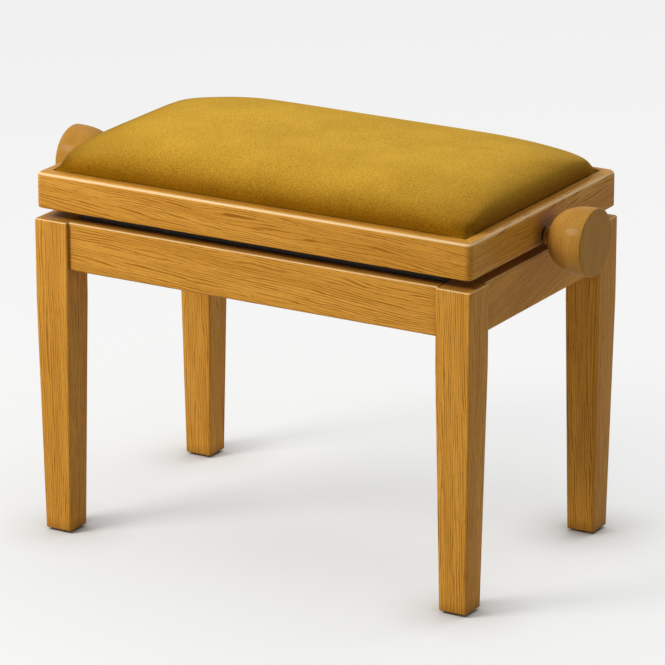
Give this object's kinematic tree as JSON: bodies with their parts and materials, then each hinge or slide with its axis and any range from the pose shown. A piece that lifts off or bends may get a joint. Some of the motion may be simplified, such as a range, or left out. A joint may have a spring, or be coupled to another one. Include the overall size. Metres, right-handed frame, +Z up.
{
  "type": "adjustable piano stool",
  "caption": "Oak piano stool with tapered legs, a crowned velvet cushion, and a seat frame raised by side knobs that turn a screw and scissor lift.",
  "frame": {"origin": "on the floor under the middle of the stool", "axes": "+X along the long side towards the right knob, +Y to the back, +Z up"},
  "size_m": [0.682, 0.344, 0.472],
  "materials": {
    "oak": "satin lacquered honey oak",
    "beech": "plain hardwood, unlacquered",
    "plywood": "birch plywood",
    "felt": "brown felt",
    "steel": "black lacquered steel",
    "foam": "open-cell upholstery foam",
    "velvet": "mustard velvet"
  },
  "bodies": {
    "base": {"leg_front_left": "oak", "leg_front_right": "oak", "leg_back_left": "oak", "leg_back_right": "oak", "corner_block_front_left": "beech", "corner_block_front_right": "beech", "corner_block_back_left": "beech", "corner_block_back_right": "beech", "apron_front": "oak", "apron_back": "oak", "apron_left": "oak", "apron_right": "oak", "felt_pads": "felt", "frame_dowels": "beech", "leg_bolts": "steel", "leg_washers": "steel", "leg_nuts": "steel", "base_plate_front": "steel", "base_plate_back": "steel", "base_plate_screws": "steel"},
    "seat": {"seat_rail_front": "oak", "seat_rail_back": "oak", "seat_rail_left": "oak", "seat_rail_right": "oak", "mitre_keys": "beech", "seat_plate_front": "steel", "seat_plate_back": "steel", "seat_plate_screws": "steel", "bearing_plate_left": "steel", "bearing_plate_right": "steel", "bearing_screws": "steel", "seat_board": "plywood", "board_screws": "steel", "seat_foam": "foam", "seat_cover": "velvet"},
    "left_lift_arms": {"left_lift_arm_front": "steel", "left_lift_arm_back": "steel", "left_base_rod": "steel", "left_middle_rod": "steel"},
    "left_stay_arms": {"left_stay_arm_front": "steel", "left_stay_arm_back": "steel", "left_slide_rod": "steel", "left_seat_pins": "steel"},
    "left_nut": {"left_nut_bar": "steel"},
    "right_lift_arms": {"right_lift_arm_front": "steel", "right_lift_arm_back": "steel", "right_base_rod": "steel", "right_middle_rod": "steel"},
    "right_stay_arms": {"right_stay_arm_front": "steel", "right_stay_arm_back": "steel", "right_slide_rod": "steel", "right_seat_pins": "steel"},
    "right_nut": {"right_nut_bar": "steel"},
    "spindle": {"spindle": "steel", "spindle_collars": "steel", "knob_left": "oak", "knob_right": "oak", "knob_pins": "steel"}
  },
  "joints": [
    {"name": "seat_lift", "type": "slide", "parent": "base", "child": "seat", "axis": [0, 0, 1], "range_m": [0, 0.08]},
    {"name": "knob_turn", "type": "hinge", "parent": "seat", "child": "spindle", "pos_m": [0, 0, 0.395], "axis": [1, 0, 0], "range_deg": [0, 1711.1]},
    {"name": "left_lift_arm_swing", "type": "hinge", "parent": "base", "child": "left_lift_arms", "pos_m": [-0.222, 0, 0.365], "axis": [0, -1, 0], "range_deg": [0, 23.22]},
    {"name": "left_stay_arm_swing", "type": "hinge", "parent": "seat", "child": "left_stay_arms", "pos_m": [-0.222, 0, 0.395], "axis": [0, 1, 0], "range_deg": [0, 23.22]},
    {"name": "left_nut_swing", "type": "hinge", "parent": "left_lift_arms", "child": "left_nut", "pos_m": [-0.015, 0, 0.395], "axis": [0, 1, 0], "range_deg": [0, 23.22]},
    {"name": "right_lift_arm_swing", "type": "hinge", "parent": "base", "child": "right_lift_arms", "pos_m": [0.222, 0, 0.365], "axis": [0, 1, 0], "range_deg": [0, 23.22]},
    {"name": "right_stay_arm_swing", "type": "hinge", "parent": "seat", "child": "right_stay_arms", "pos_m": [0.222, 0, 0.395], "axis": [0, -1, 0], "range_deg": [0, 23.22]},
    {"name": "right_nut_swing", "type": "hinge", "parent": "right_lift_arms", "child": "right_nut", "pos_m": [0.015, 0, 0.395], "axis": [0, -1, 0], "range_deg": [0, 23.22]}
  ],
  "couplings": [
    {"joint": "knob_turn", "follows": "seat_lift", "rad_per_m": 373.08},
    {"joint": "left_lift_arm_swing", "follows": "seat_lift", "rad_per_m": 5.055},
    {"joint": "left_stay_arm_swing", "follows": "seat_lift", "rad_per_m": 5.055},
    {"joint": "left_nut_swing", "follows": "seat_lift", "rad_per_m": 5.055},
    {"joint": "right_lift_arm_swing", "follows": "seat_lift", "rad_per_m": 5.055},
    {"joint": "right_stay_arm_swing", "follows": "seat_lift", "rad_per_m": 5.055},
    {"joint": "right_nut_swing", "follows": "seat_lift", "rad_per_m": 5.055}
  ]
}
